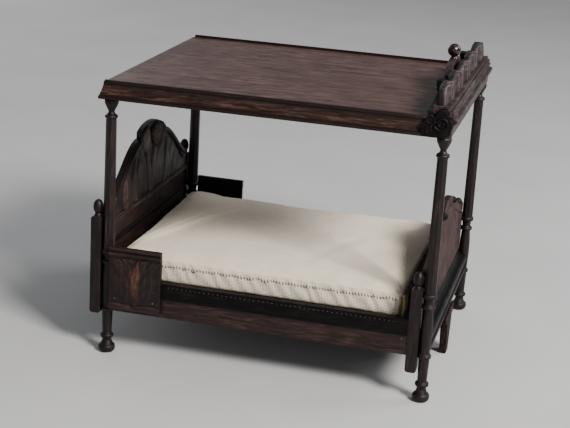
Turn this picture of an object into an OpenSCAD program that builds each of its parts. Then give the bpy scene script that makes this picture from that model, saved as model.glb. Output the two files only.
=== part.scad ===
// Dolls' house four poster bed, 1:12 scale, carved dark wood with a lift-out mattress.
// Millimetres. +X runs to the foot end, -Y to the front side, +Z up. The posts stand on z = 0.

/* [Posts] */
// Distance between the head posts and the foot posts
post_gap_x = 182; // [170:1:200]
// Distance between the front posts and the rear posts
post_gap_y = 150; // [144:1:160]
// Height of a post, from the floor to the underside of the tester
post_h = 148.5; // [142:0.5:156]
// Width across the flats of a shaft at its foot
shaft_w = 6.3; // [5.6:0.1:6.6]
// Width across the flats of a shaft at its top
shaft_top_w = 5.4; // [4.8:0.1:5.8]
// Height at which the eight-sided shaft starts
shaft_z = 62.5; // [60:0.5:68]

/* [Stiles] */
// Side of a stile's square section
stile_w = 6.2; // [5:0.1:7]
// Bottom of the head stiles
head_stile_z = 23.5; // [18:0.5:30]
// Top of the head stiles, below the knob
head_stile_top = 80.5; // [74:0.5:84]
// Bottom of the foot stiles
foot_stile_z = 16.5; // [12:0.5:22]
// Top of the foot stiles, below the knob
foot_stile_top = 64; // [58:0.5:70]

/* [Side rails] */
// Thickness of a side rail
rail_t = 4; // [3:0.1:5]
// Bottom of the side rails
rail_z = 26.2; // [22:0.2:30]
// Height of the lower board of a side rail
rail_board_h = 11.2; // [9:0.2:14]
// Height of the dark strip on top of it
rail_strip_h = 9.2; // [7:0.2:11]

/* [Headboard] */
// Thickness of the headboard panels
head_panel_t = 3; // [2:0.1:4]
// Height of the headboard's peak
head_peak_z = 118.5; // [110:0.5:126]
// Height of the headboard's top edge at the stiles
head_shoulder_z = 85; // [80:0.5:90]
// Top of the moulded middle rail
head_rail_top = 75; // [70:0.5:78]
// Height of the middle rail
head_rail_h = 3.4; // [3.4:0.2:6]

/* [Footboard] */
// Thickness of the footboard
foot_panel_t = 2.8; // [2:0.1:4]
// Height of the footboard's arched peak
foot_peak_z = 94; // [90:0.5:100]
// Height of the footboard's top edge at the stiles
foot_shoulder_z = 72; // [68:0.5:76]
// Top of the moulded rail between the foot posts
foot_rail_top = 37; // [34:0.5:42]

/* [Wings] */
// Length of a wing
wing_l = 30.5; // [24:0.5:38]
// Bottom of a wing
wing_z = 28.5; // [24:0.5:32]
// Height of a wing
wing_h = 36.5; // [30:0.5:42]
// Thickness of a wing
wing_t = 3; // [2:0.1:4]

/* [Tester] */
// Thickness of the tester board
tester_t = 2.5; // [2:0.1:4]
// Height of the side cornices
cornice_h = 10; // [9:0.5:12]
// Height of the foot cornice
foot_cornice_h = 14; // [14:0.5:16]
// How far the side cornices stand out from the post axes
cornice_out = 7.2; // [6:0.1:9]

/* [Crest] */
// Number of carved leaves
leaf_count = 5; // [3:2:7]
// Distance from leaf to leaf
leaf_pitch = 31.5; // [20:0.5:31.5]
// Width of a leaf
leaf_w = 27; // [16:0.5:27]
// Height of a leaf
leaf_h = 9.5; // [7:0.5:12]
// Thickness of a leaf at its edges
leaf_t = 3.8; // [2:0.2:4]
// Radius of the ball finial
ball_r = 3.7; // [3:0.1:5]

/* [Mattress] */
// Width of the mattress
mattress_w = 141; // [130:1:141]
// Thickness of the mattress
mattress_t = 15.5; // [10:0.5:20]

/* [Hidden] */
$fn = 48;

dark_wood = [0.16, 0.09, 0.07];
red_wood = [0.30, 0.16, 0.12];
black_wood = [0.08, 0.06, 0.06];
canvas = [0.86, 0.80, 0.68];
steel = [0.55, 0.52, 0.48];

// How far the faces beside a post stand from its axis
post_side = 3.5;
// How far the object reaches past the head posts and the foot posts
head_reach = post_side + stile_w;
foot_reach = 6;
overall_l = post_gap_x + head_reach + foot_reach;
head_x = head_reach - overall_l / 2;
foot_x = overall_l / 2 - foot_reach;
side_y = post_gap_y / 2;
// Height of a post's turned capital
cap_h = 12.6;
// Half the clear width between the stiles
bay_y = side_y - stile_w / 2;
rail_out = side_y + post_side;
strip_z = rail_z + rail_board_h;
rail_top = strip_z + rail_strip_h;
tester_top = post_h + cornice_h;
// The tester board lies a little below the cornices' top edges, between their inner faces
board_z = tester_top - 1.5 - tester_t;
ledge_y = side_y + 2.5;
tester_head_x = head_x - 4;
crest_z = post_h + foot_cornice_h;
// Where the tester board ends and the foot cornice and crest begin
crest_split = foot_x - 6.7;
// Where the side cornices end at the corner blocks
block_x = foot_x - 11.5;
// Top of the base board, on which the mattress lies
mattress_z = 42;

// Points along an arc, in a plane, from angle a0 to angle a1
function arc(c, r, a0, a1, n = 8) =
    [for (i = [0:n]) c + r * [cos(a0 + (a1 - a0) * i / n), sin(a0 + (a1 - a0) * i / n)]];

// Half-round ring of a turned profile: r is the radius at its edges, out its bulge, h its height
function ring(r, out, z, h, n = 8) =
    [for (i = [0:n]) [r + out * cos(-90 + 180 * i / n), z + h / 2 * sin(-90 + 180 * i / n)]];

// Smooth fall from 1 at t = 0 to 0 at t = 1
function fall(t) = (1 + cos(180 * t)) / 2;

module mirrored_y(rear) {
    mirror([0, rear ? 1 : 0, 0]) children();
}

// A board or moulding with a constant outline in the YZ plane, from x0 to x0 + t
module slab_x(x0, t) {
    translate([x0, 0, 0]) rotate([90, 0, 90]) linear_extrude(height = t) children();
}

// A moulding that runs along Y between -half and half, from an outline of [x, z] points
module run_y(half) {
    rotate([90, 0, 0]) linear_extrude(height = 2 * half, center = true) children();
}

// ---- Posts and stiles ----

// Eight-sided tapering shaft: four crossed slabs, each as wide as the flats are apart
module shaft(w0, w1, h) {
    intersection_for (k = [0:3])
        rotate([90, 0, 45 * k])
            linear_extrude(height = 4 * w0, center = true)
                polygon([[-w0 / 2, 0], [w0 / 2, 0], [w1 / 2, h], [-w1 / 2, h]]);
}

module post(x, rear) {
    lower = concat(
        [[0, 0], [3.3, 0]],
        ring(3.5, 1.3, 2.6, 4.4),
        [[2.6, 7], [2.6, 8.3]],
        ring(2.8, 1.0, 9.9, 2.6),
        [[2.6, 11.6], [3.0, 24.6]],
        ring(3.0, 0.8, 26.2, 2.4),
        [[2.8, 27.8], [3.2, 38], [3.1, 46], [2.6, 52.6]],
        ring(2.8, 0.9, 54.4, 2.4),
        [[2.5, 56.2], [2.7, 58.6]],
        ring(3.2, 0.8, 60.6, 2.8),
        [[3.3, shaft_z], [0, shaft_z]]
    );
    cap_z = post_h - cap_h;
    upper = concat(
        [[0, cap_z], [2.8, cap_z], [2.9, cap_z + 0.8]],
        ring(2.8, 0.8, cap_z + 1.9, 2),
        [[2.1, cap_z + 3.6], [1.7, cap_z + 4.4], [1.7, cap_z + 4.9], [2.5, cap_z + 6.6], [3.4, cap_z + 8.5]],
        [[3.8, cap_z + 9.4], [3.9, cap_z + 11], [3.5, cap_z + 11.7], [3.9, post_h], [0, post_h]]
    );
    color(dark_wood) mirrored_y(rear) translate([x, -side_y, 0]) {
        rotate_extrude() polygon(lower);
        translate([0, 0, shaft_z]) shaft(shaft_w, shaft_top_w, cap_z - shaft_z);
        rotate_extrude() polygon(upper);
    }
}

// Square stile with a scalloped shoulder, a neck and an egg-shaped knob; x0 is its head side
module stile(x0, z0, z1, rear) {
    body = [
        [0.8, z0], [stile_w - 0.8, z0], [stile_w, z0 + 1.2], [stile_w, z1 - 1],
        [stile_w - 1, z1], [1, z1], [0, z1 - 1], [0, z0 + 1.2]
    ];
    knob = concat(
        [[0, -0.2], [2.2, -0.2], [1.9, 0.8]],
        [for (a = [-55:12.5:80]) [2.8 * cos(a), 5 + 4.4 * sin(a)]],
        [[0, 9.4]]
    );
    color(dark_wood) mirrored_y(rear) {
        translate([x0, -side_y, 0])
            rotate([90, 0, 0]) linear_extrude(height = stile_w, center = true) polygon(body);
        translate([x0 + stile_w / 2, -side_y, z1]) rotate_extrude() polygon(knob);
    }
}

// ---- Headboard ----

// Half the width of the dome in the middle of the top edge
dome_y = 17;
head_back = head_x - 6.5;
head_face = head_back + head_panel_t;
function head_edge(y) =
    head_shoulder_z + (head_peak_z - 7 - head_shoulder_z) * fall((y - dome_y) / (bay_y - dome_y));
head_half = concat(
    [for (a = [90:-9:27]) [19 * cos(a), head_peak_z - 7 + 7 * sin(a)]],
    [for (i = [0:14]) let (y = dome_y + (bay_y - dome_y) * i / 14) [y, head_edge(y)]]
);

module headboard_panel() {
    outline = concat(
        [[-bay_y, head_rail_top]],
        [for (i = [len(head_half) - 1:-1:1]) [-head_half[i][0], head_half[i][1]]],
        head_half,
        [[bay_y, head_rail_top]]
    );
    color(dark_wood) slab_x(head_back, head_panel_t) polygon(outline);
}

// Plume of round-ended ribs that fans up from one point on the panel's face, every other rib prouder
module headboard_shell() {
    rib_count = 5;
    rib_spread = 28;
    rib = concat([[-0.6, 0], [0.6, 0]], arc([0, 16.2], 2.3, 0, 180, 12));
    root = [9, head_peak_z - 20.5];
    color(dark_wood) for (k = [0:rib_count - 1])
        slab_x(head_face, k % 2 == 0 ? 2.4 : 1.7)
            translate(root) rotate(rib_spread * (1 - 2 * k / (rib_count - 1))) polygon(rib);
}

// Raised edge moulding that follows the serpentine and ends in a round scroll
module headboard_scroll(rear) {
    scroll_end = bay_y - 14;
    steps = [for (i = [0:12]) dome_y + 2 + (scroll_end - dome_y - 2) * i / 12];
    band = concat(
        [for (y = steps) [-y, head_edge(y) - 0.3]],
        [for (i = [12:-1:0]) [-steps[i], head_edge(steps[i]) - 3.8]]
    );
    color(dark_wood) mirrored_y(rear) slab_x(head_face, 1.2) union() {
        polygon(band);
        translate([-scroll_end, head_edge(scroll_end) - 3.3]) circle(r = 3);
    }
}

// How far the middle rail's bead stands out from the headboard's face
head_rail_out = 1.5;

module headboard_rail() {
    z = head_rail_top - head_rail_h;
    flat = head_face + 0.4;
    ledge = head_face + 1;
    profile = concat(
        [[head_back, z], [flat, z]],
        arc([flat, z + 1.3], head_rail_out - 0.4, -70, 70),
        [[flat, z + 2.5], [ledge, z + 2.7], [ledge, head_rail_top], [head_back, head_rail_top]]
    );
    color(red_wood) run_y(bay_y) polygon(profile);
}

lower_face = head_x - 4.3;
module headboard_lower_panel() {
    z = 30;
    t = 2.4;
    color(dark_wood)
        translate([lower_face - t, -bay_y, z]) cube([t, 2 * bay_y, head_rail_top - head_rail_h - z]);
}

module headboard_lower_moulding() {
    profile = concat([[lower_face, 58.6], [lower_face, 62]], arc([lower_face, 60.3], 1.2, 60, -60, 6));
    color(black_wood) run_y(bay_y) polygon(profile);
}

// ---- Footboard ----

// Half the width of the arch in the middle of the top edge
hump_y = 18;
foot_face = foot_x - post_side;
function foot_edge(y) =
    foot_shoulder_z + (foot_peak_z - 8 - foot_shoulder_z) * fall((y - hump_y) / (bay_y - hump_y));
foot_half = concat(
    [for (a = [90:-9:18]) [hump_y * cos(a), foot_peak_z - 7 + 7 * sin(a)]],
    [[hump_y - 0.6, foot_peak_z - 7.5]],
    [for (i = [0:12]) let (y = hump_y + 1 + (bay_y - hump_y - 1) * i / 12) [y, foot_edge(y)]]
);

module footboard_panel() {
    outline = concat(
        [[-bay_y, rail_z]],
        [for (i = [len(foot_half) - 1:-1:1]) [-foot_half[i][0], foot_half[i][1]]],
        foot_half,
        [[bay_y, rail_z]]
    );
    color(red_wood) slab_x(foot_face - foot_panel_t, foot_panel_t) polygon(outline);
}

// Small round scroll where the arch meets the shoulder
module footboard_knob(rear) {
    color(black_wood) mirrored_y(rear)
        translate([foot_face, -hump_y, foot_peak_z - 6]) rotate([0, 90, 0])
            rotate_extrude() polygon(concat([[0, 0], [2.4, 0], [2.4, 0.5]], arc([0, 0.5], 2, 15, 90, 6)));
}

module footboard_rail() {
    z = rail_z;
    x0 = foot_face;
    out = x0 + 5.6;
    profile = concat(
        [[x0, z], [out - 0.6, z], [out, z + 0.6], [out, z + 3]],
        [[out - 0.8, z + 3.6], [out - 0.8, z + 6.6], [out, z + 7.2], [out, z + 9.6]],
        [[out - 0.8, foot_rail_top]],
        arc([out - 1.2, foot_rail_top + 3.8], 3.6, 265, 190),
        [[x0, foot_rail_top + 4.6]]
    );
    color(black_wood) run_y(bay_y + 0.8) polygon(profile);
}

// Broad tapered leg under the middle of the foot rail, with scalloped shoulders
module foot_centre_leg() {
    half = concat(
        [[15, rail_z], [15, rail_z - 1.5]],
        arc([15, rail_z - 4], 2.5, 90, 200, 6),
        arc([10.6, rail_z - 7], 2, 60, 180, 6),
        [[4.2, 0]]
    );
    outline = concat(half, [for (i = [len(half) - 1:-1:0]) [-half[i][0], half[i][1]]]);
    color(red_wood) slab_x(foot_x - 0.6, 4) polygon(outline);
}

// ---- Side rails ----

rail_x0 = head_x + 2.2;
rail_x1 = foot_face - stile_w;

module rail_board(rear) {
    color(red_wood) mirrored_y(rear)
        translate([rail_x0, -rail_out + 0.8, rail_z])
            cube([rail_x1 - rail_x0, rail_t - 0.8, rail_board_h]);
}

module rail_strip(rear) {
    color(black_wood) mirrored_y(rear)
        translate([rail_x0, -rail_out, strip_z])
            cube([rail_x1 - rail_x0, rail_t, rail_strip_h]);
}

module rail_pins() {
    color(steel)
        for (rear = [false, true])
            mirrored_y(rear) translate([rail_x1 - 3, -rail_out + 0.8, strip_z - 2])
                rotate([90, 0, 0]) cylinder(r = 0.5, h = 0.5);
}

// ---- Wings ----

wing_x = head_x + 2.5;
wing_back = -rail_out;
wing_cap_h = 6;
wing_foot_h = 4;

module wing_panel(rear) {
    color(red_wood) mirrored_y(rear)
        translate([wing_x, wing_back - wing_t + 0.8, wing_z + wing_foot_h])
            cube([wing_l, wing_t - 0.8, wing_h - wing_cap_h - wing_foot_h]);
}

module wing_top(rear) {
    z = wing_z + wing_h;
    profile = concat(
        [[wing_back, z - wing_cap_h], [wing_back, z]],
        arc([wing_back - wing_t + 1, z - 1.1], 1.1, 90, 270),
        [[wing_back - wing_t + 0.6, z - 2.6]],
        arc([wing_back - wing_t + 1, z - 3.8], 1.1, 90, 270),
        [[wing_back - wing_t + 1, z - wing_cap_h]]
    );
    color(dark_wood) mirrored_y(rear) slab_x(wing_x, wing_l) polygon(profile);
}

module wing_bottom(rear) {
    profile = concat(
        [[wing_back, wing_z], [wing_back, wing_z + wing_foot_h]],
        [[wing_back - wing_t + 0.8, wing_z + wing_foot_h]],
        arc([wing_back - wing_t + 1.2, wing_z + 2], 1.4, 120, 240)
    );
    color(dark_wood) mirrored_y(rear)
        slab_x(wing_x, wing_l) polygon(concat(profile, [[wing_back - wing_t + 0.8, wing_z]]));
}

module wing_nails() {
    color(steel)
        for (rear = [false, true], dx = [4, wing_l - 4])
            mirrored_y(rear) translate([wing_x + dx, wing_back - wing_t + 0.8, wing_z + wing_foot_h + 2.5])
                rotate([90, 0, 0]) cylinder(r = 0.6, h = 0.3);
}

// ---- Tester ----

module tester_board() {
    color(red_wood)
        translate([tester_head_x, -ledge_y, board_z])
            cube([crest_split - tester_head_x, 2 * ledge_y, tester_t]);
}

// Moulding that flares out to a thin lip at the bottom; its head end is cut on the same slant
module cornice_side(rear) {
    lip = side_y + cornice_out;
    z = post_h;
    bead_r = 1.1;
    slant = 1.2;
    profile = concat(
        [[-side_y + 4, z], [-lip, z], [-lip, z + 1.4], [-lip + 1.3, z + 1.9], [-lip + 1.5, z + 2.2]],
        [[-lip + 2.2, z + 3.2], [-lip + 2.8, z + 4.4], [-lip + 3.2, z + 5.7]],
        [[-lip + 3.4, z + cornice_h - 2.9]],
        arc([-lip + 4, tester_top - bead_r], bead_r, 235, 90),
        [[-ledge_y, tester_top], [-ledge_y, board_z], [-side_y + 4, board_z]]
    );
    color(red_wood) mirrored_y(rear) intersection() {
        slab_x(tester_head_x - slant, block_x - tester_head_x + slant) polygon(profile);
        run_y(lip) polygon([
            [tester_head_x - slant, z], [block_x, z], [block_x, tester_top],
            [tester_head_x + slant, tester_top], [tester_head_x - slant, z + 1.4]
        ]);
    }
}

module cornice_foot() {
    z = post_h;
    out = foot_x + foot_reach;
    inner = crest_split - 1.9;
    profile = concat(
        [[inner, z], [out - 2.2, z], [out - 2.2, z + 1]],
        [for (a = [0:15:90]) [out - 0.3 - 1.9 * cos(a), z + 1.2 + 6 * sin(a)]],
        [[out, z + 7.4], [out, z + 8.8], [out - 1.8, z + 9.5], [out - 1.8, z + 10]],
        arc([out - 2.3, z + 11], 0.9, -60, 60, 6),
        arc([out - 2.9, z + foot_cornice_h - 0.9], 0.9, -60, 90, 6),
        [[crest_split, crest_z], [crest_split, board_z], [inner, board_z]]
    );
    color(red_wood) run_y(ledge_y) polygon(profile);
}

// Carved block that closes the end of the foot cornice and meets the side cornice
module corner_block(rear) {
    y0 = -side_y - cornice_out;
    t = side_y + cornice_out - ledge_y;
    outline = concat(
        [[block_x, post_h], [foot_x + 1, post_h], [foot_x + 3.6, post_h + 2.5]],
        arc([foot_x + 0.8, post_h + 6.6], 3.6, -30, 60, 6),
        arc([foot_x - 1.6, post_h + 11.6], 2.9, -30, 130, 8),
        arc([foot_x - 7.2, post_h + 8.8], 2.7, 40, 180, 6)
    );
    color(black_wood) mirrored_y(rear) translate([0, y0 + t, 0])
        rotate([90, 0, 0]) linear_extrude(height = t)
            polygon(concat(outline, [[block_x, post_h + 7]]));
}

// ---- Crest ----

base_top = crest_z + 1.6;
leaf_x = crest_split + 1.4;

module crest_base() {
    l = leaf_x + leaf_t + 4.2 - crest_split;
    color(red_wood)
        translate([crest_split, -ledge_y, crest_z]) cube([l, 2 * ledge_y, base_top - crest_z]);
}

// Squarish leaf with a V groove down the middle of its bowed face
module crest_leaf(k) {
    w = leaf_w / 2;
    roundness = 0.6;
    bow = 2;
    face = concat(
        [[-w, base_top]],
        [for (a = [180:-15:0]) [
            w * sign(cos(a)) * pow(abs(cos(a)), roundness),
            base_top + leaf_h * (0.3 + 0.7 * pow(sin(a), roundness))
        ]],
        [[w, base_top]]
    );
    half_plan = [
        [w, leaf_t], [w * 0.75, leaf_t + 0.75 * bow], [w * 0.4, leaf_t + bow],
        [w * 0.12, leaf_t + 0.7 * bow], [0, leaf_t]
    ];
    plan = concat(
        [[w, 0]], half_plan,
        [for (i = [3:-1:0]) [-half_plan[i][0], half_plan[i][1]]],
        [[-w, 0]]
    );
    color(dark_wood) translate([0, (k - (leaf_count + 1) / 2) * leaf_pitch, 0]) intersection() {
        slab_x(leaf_x - 0.2, leaf_t + bow + 0.4) polygon(face);
        translate([leaf_x, 0, base_top])
            linear_extrude(height = leaf_h) polygon([for (p = plan) [p[1], p[0]]]);
    }
}

back_x = crest_split - 3;
back_top = crest_z + 4;
plinth_w = 17;
plinth_top = crest_z + 12.5;

// Low swan-necked board behind the leaves, cut away where the centre plinth stands
module crest_back() {
    z0 = board_z + tester_t;
    wing_points = [for (i = [0:10]) let (y = plinth_w + (ledge_y - plinth_w) * i / 10)
        [y, z0 + 4.5 + (back_top - z0 - 4.5) * fall(i / 10)]];
    color(dark_wood)
        for (rear = [false, true])
            mirrored_y(rear) slab_x(back_x, 3)
                polygon(concat([[plinth_w, z0]], wing_points, [[ledge_y, z0]]));
}

module crest_knob(rear) {
    z = back_top - 1.4;
    knob_y = 44;
    color(black_wood) mirrored_y(rear) translate([back_x + 1.5, -knob_y, 0]) {
        translate([-1.7, -3, z]) cube([3.4, 6, 2.6]);
        translate([-2.1, -3.6, z + 2.6]) cube([4.2, 7.2, 3.4]);
    }
}

// Centre plinth with a bowed, grooved face
module crest_plinth() {
    z0 = board_z + tester_t;
    outline = concat(
        [[-plinth_w, z0], [-plinth_w, plinth_top - 5]],
        arc([-plinth_w + 4, plinth_top - 5], 4, 165, 90, 5),
        [[0, plinth_top]],
        arc([plinth_w - 4, plinth_top - 5], 4, 90, 15, 5),
        [[plinth_w, plinth_top - 5], [plinth_w, z0]]
    );
    groove_w = 1.6;
    color(dark_wood) difference() {
        slab_x(back_x - 0.8, 3.8) polygon(outline);
        for (y = [-10, -5, 0, 5, 10])
            translate([back_x + 3, y, z0 + 4]) rotate([-1.2 * y, 0, 0]) rotate([0, 0, 45])
                translate([-groove_w / 2, -groove_w / 2, 0]) cube([groove_w, groove_w, 30]);
    }
}

module crest_ball() {
    z = plinth_top;
    neck = concat([[0, 0], [2.2, 0], [1.4, 1.2]], arc([0, ball_r + 0.8], ball_r, -67, 90, 16));
    color(dark_wood) translate([back_x + 1.1, 0, z]) rotate_extrude() polygon(neck);
}

// ---- Base and mattress ----

module base_board() {
    t = 2.5;
    post_clear = 5;
    y_wide = rail_out - rail_t;
    y_narrow = side_y - post_clear;
    x_head = head_x + post_clear;
    x_foot = rail_x1 - 0.5;
    x_end = foot_face - foot_panel_t;
    color(red_wood) translate([0, 0, mattress_z - t]) linear_extrude(height = t) polygon([
        [lower_face, -y_narrow], [x_head, -y_narrow], [x_head, -y_wide],
        [x_foot, -y_wide], [x_foot, -y_narrow], [x_end, -y_narrow],
        [x_end, y_narrow], [x_foot, y_narrow], [x_foot, y_wide],
        [x_head, y_wide], [x_head, y_narrow], [lower_face, y_narrow]
    ]);
}

// The mattress stands clear of the middle rail and the foot stiles, so that it lifts straight out
module mattress() {
    head_gap = 0.5;
    foot_gap = 2.8;
    x0 = head_face + head_rail_out + head_gap;
    l = rail_x1 - foot_gap - x0;
    r = 4;
    w = mattress_w;
    color(canvas) translate([x0, -w / 2, mattress_z]) linear_extrude(height = mattress_t) union() {
        translate([r, 0]) square([l - 2 * r, w]);
        translate([0, r]) square([l, w - 2 * r]);
        for (x = [r, l - r], y = [r, w - r]) translate([x, y]) circle(r = r);
    }
}

post(head_x, false);  // head_post_front
post(head_x, true);  // head_post_rear
post(foot_x, false);  // foot_post_front
post(foot_x, true);  // foot_post_rear
stile(head_x - head_reach, head_stile_z, head_stile_top, false);  // head_stile_front
stile(head_x - head_reach, head_stile_z, head_stile_top, true);  // head_stile_rear
stile(rail_x1, foot_stile_z, foot_stile_top, false);  // foot_stile_front
stile(rail_x1, foot_stile_z, foot_stile_top, true);  // foot_stile_rear
headboard_panel();
headboard_shell();
headboard_scroll(false);  // headboard_scroll_front
headboard_scroll(true);  // headboard_scroll_rear
headboard_rail();
headboard_lower_panel();
headboard_lower_moulding();
footboard_panel();
footboard_knob(false);  // footboard_knob_front
footboard_knob(true);  // footboard_knob_rear
footboard_rail();
foot_centre_leg();
rail_board(false);  // rail_board_front
rail_board(true);  // rail_board_rear
rail_strip(false);  // rail_strip_front
rail_strip(true);  // rail_strip_rear
rail_pins();
wing_panel(false);  // wing_panel_front
wing_panel(true);  // wing_panel_rear
wing_top(false);  // wing_top_front
wing_top(true);  // wing_top_rear
wing_bottom(false);  // wing_bottom_front
wing_bottom(true);  // wing_bottom_rear
wing_nails();
tester_board();
cornice_side(false);  // cornice_front
cornice_side(true);  // cornice_rear
cornice_foot();
corner_block(false);  // corner_block_front
corner_block(true);  // corner_block_rear
crest_base();
crest_leaf(1);  // crest_leaf_1
crest_leaf(2);  // crest_leaf_2
crest_leaf(3);  // crest_leaf_3
crest_leaf(4);  // crest_leaf_4
crest_leaf(5);  // crest_leaf_5
crest_back();
crest_knob(false);  // crest_knob_front
crest_knob(true);  // crest_knob_rear
crest_plinth();
crest_ball();
base_board();
mattress();
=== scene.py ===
"""Dolls' house four poster bed at one twelfth: finishes, carving, pins and mattress over the frame."""

import logging
import math
from collections.abc import Callable, Iterable, Sequence
from dataclasses import dataclass, field, replace
from enum import Enum

import bmesh
import bpy
import numpy as np
from mathutils import Euler, Matrix, Vector, noise
from mathutils.bvhtree import BVHTree


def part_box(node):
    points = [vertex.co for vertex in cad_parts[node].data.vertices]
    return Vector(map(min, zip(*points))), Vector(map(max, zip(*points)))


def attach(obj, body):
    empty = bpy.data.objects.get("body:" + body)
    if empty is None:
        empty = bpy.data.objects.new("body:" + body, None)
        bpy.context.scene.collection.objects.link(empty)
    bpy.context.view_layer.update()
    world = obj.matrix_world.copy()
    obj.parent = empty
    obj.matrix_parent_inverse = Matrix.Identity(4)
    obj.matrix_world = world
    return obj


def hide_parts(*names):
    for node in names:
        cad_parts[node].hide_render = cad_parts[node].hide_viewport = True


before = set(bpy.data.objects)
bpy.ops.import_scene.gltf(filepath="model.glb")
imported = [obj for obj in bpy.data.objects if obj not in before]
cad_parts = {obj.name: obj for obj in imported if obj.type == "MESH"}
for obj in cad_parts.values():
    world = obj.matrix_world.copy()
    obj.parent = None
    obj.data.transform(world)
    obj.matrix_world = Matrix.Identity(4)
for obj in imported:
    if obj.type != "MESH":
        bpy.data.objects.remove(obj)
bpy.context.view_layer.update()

log = logging.getLogger("four_poster")
Colour = tuple[float, float, float]
Socket = bpy.types.NodeSocket
BMesh = bmesh.types.BMesh
TubePath = Sequence[tuple[Vector, float]]
MM = 0.001
WAVE_PERIOD = math.pi / 10.0  # spacing of a wave node's bands at a scale of 1
BEDSTEAD = "bedstead"
SIDES = {"front": -1.0, "rear": 1.0}
X_AXIS, Y_AXIS, Z_AXIS = Vector((1, 0, 0)), Vector((0, 1, 0)), Vector((0, 0, 1))


class Grain(Enum):
    """The axis that the wood's fibres run along."""

    LENGTH = 0
    WIDTH = 1
    HEIGHT = 2


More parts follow.
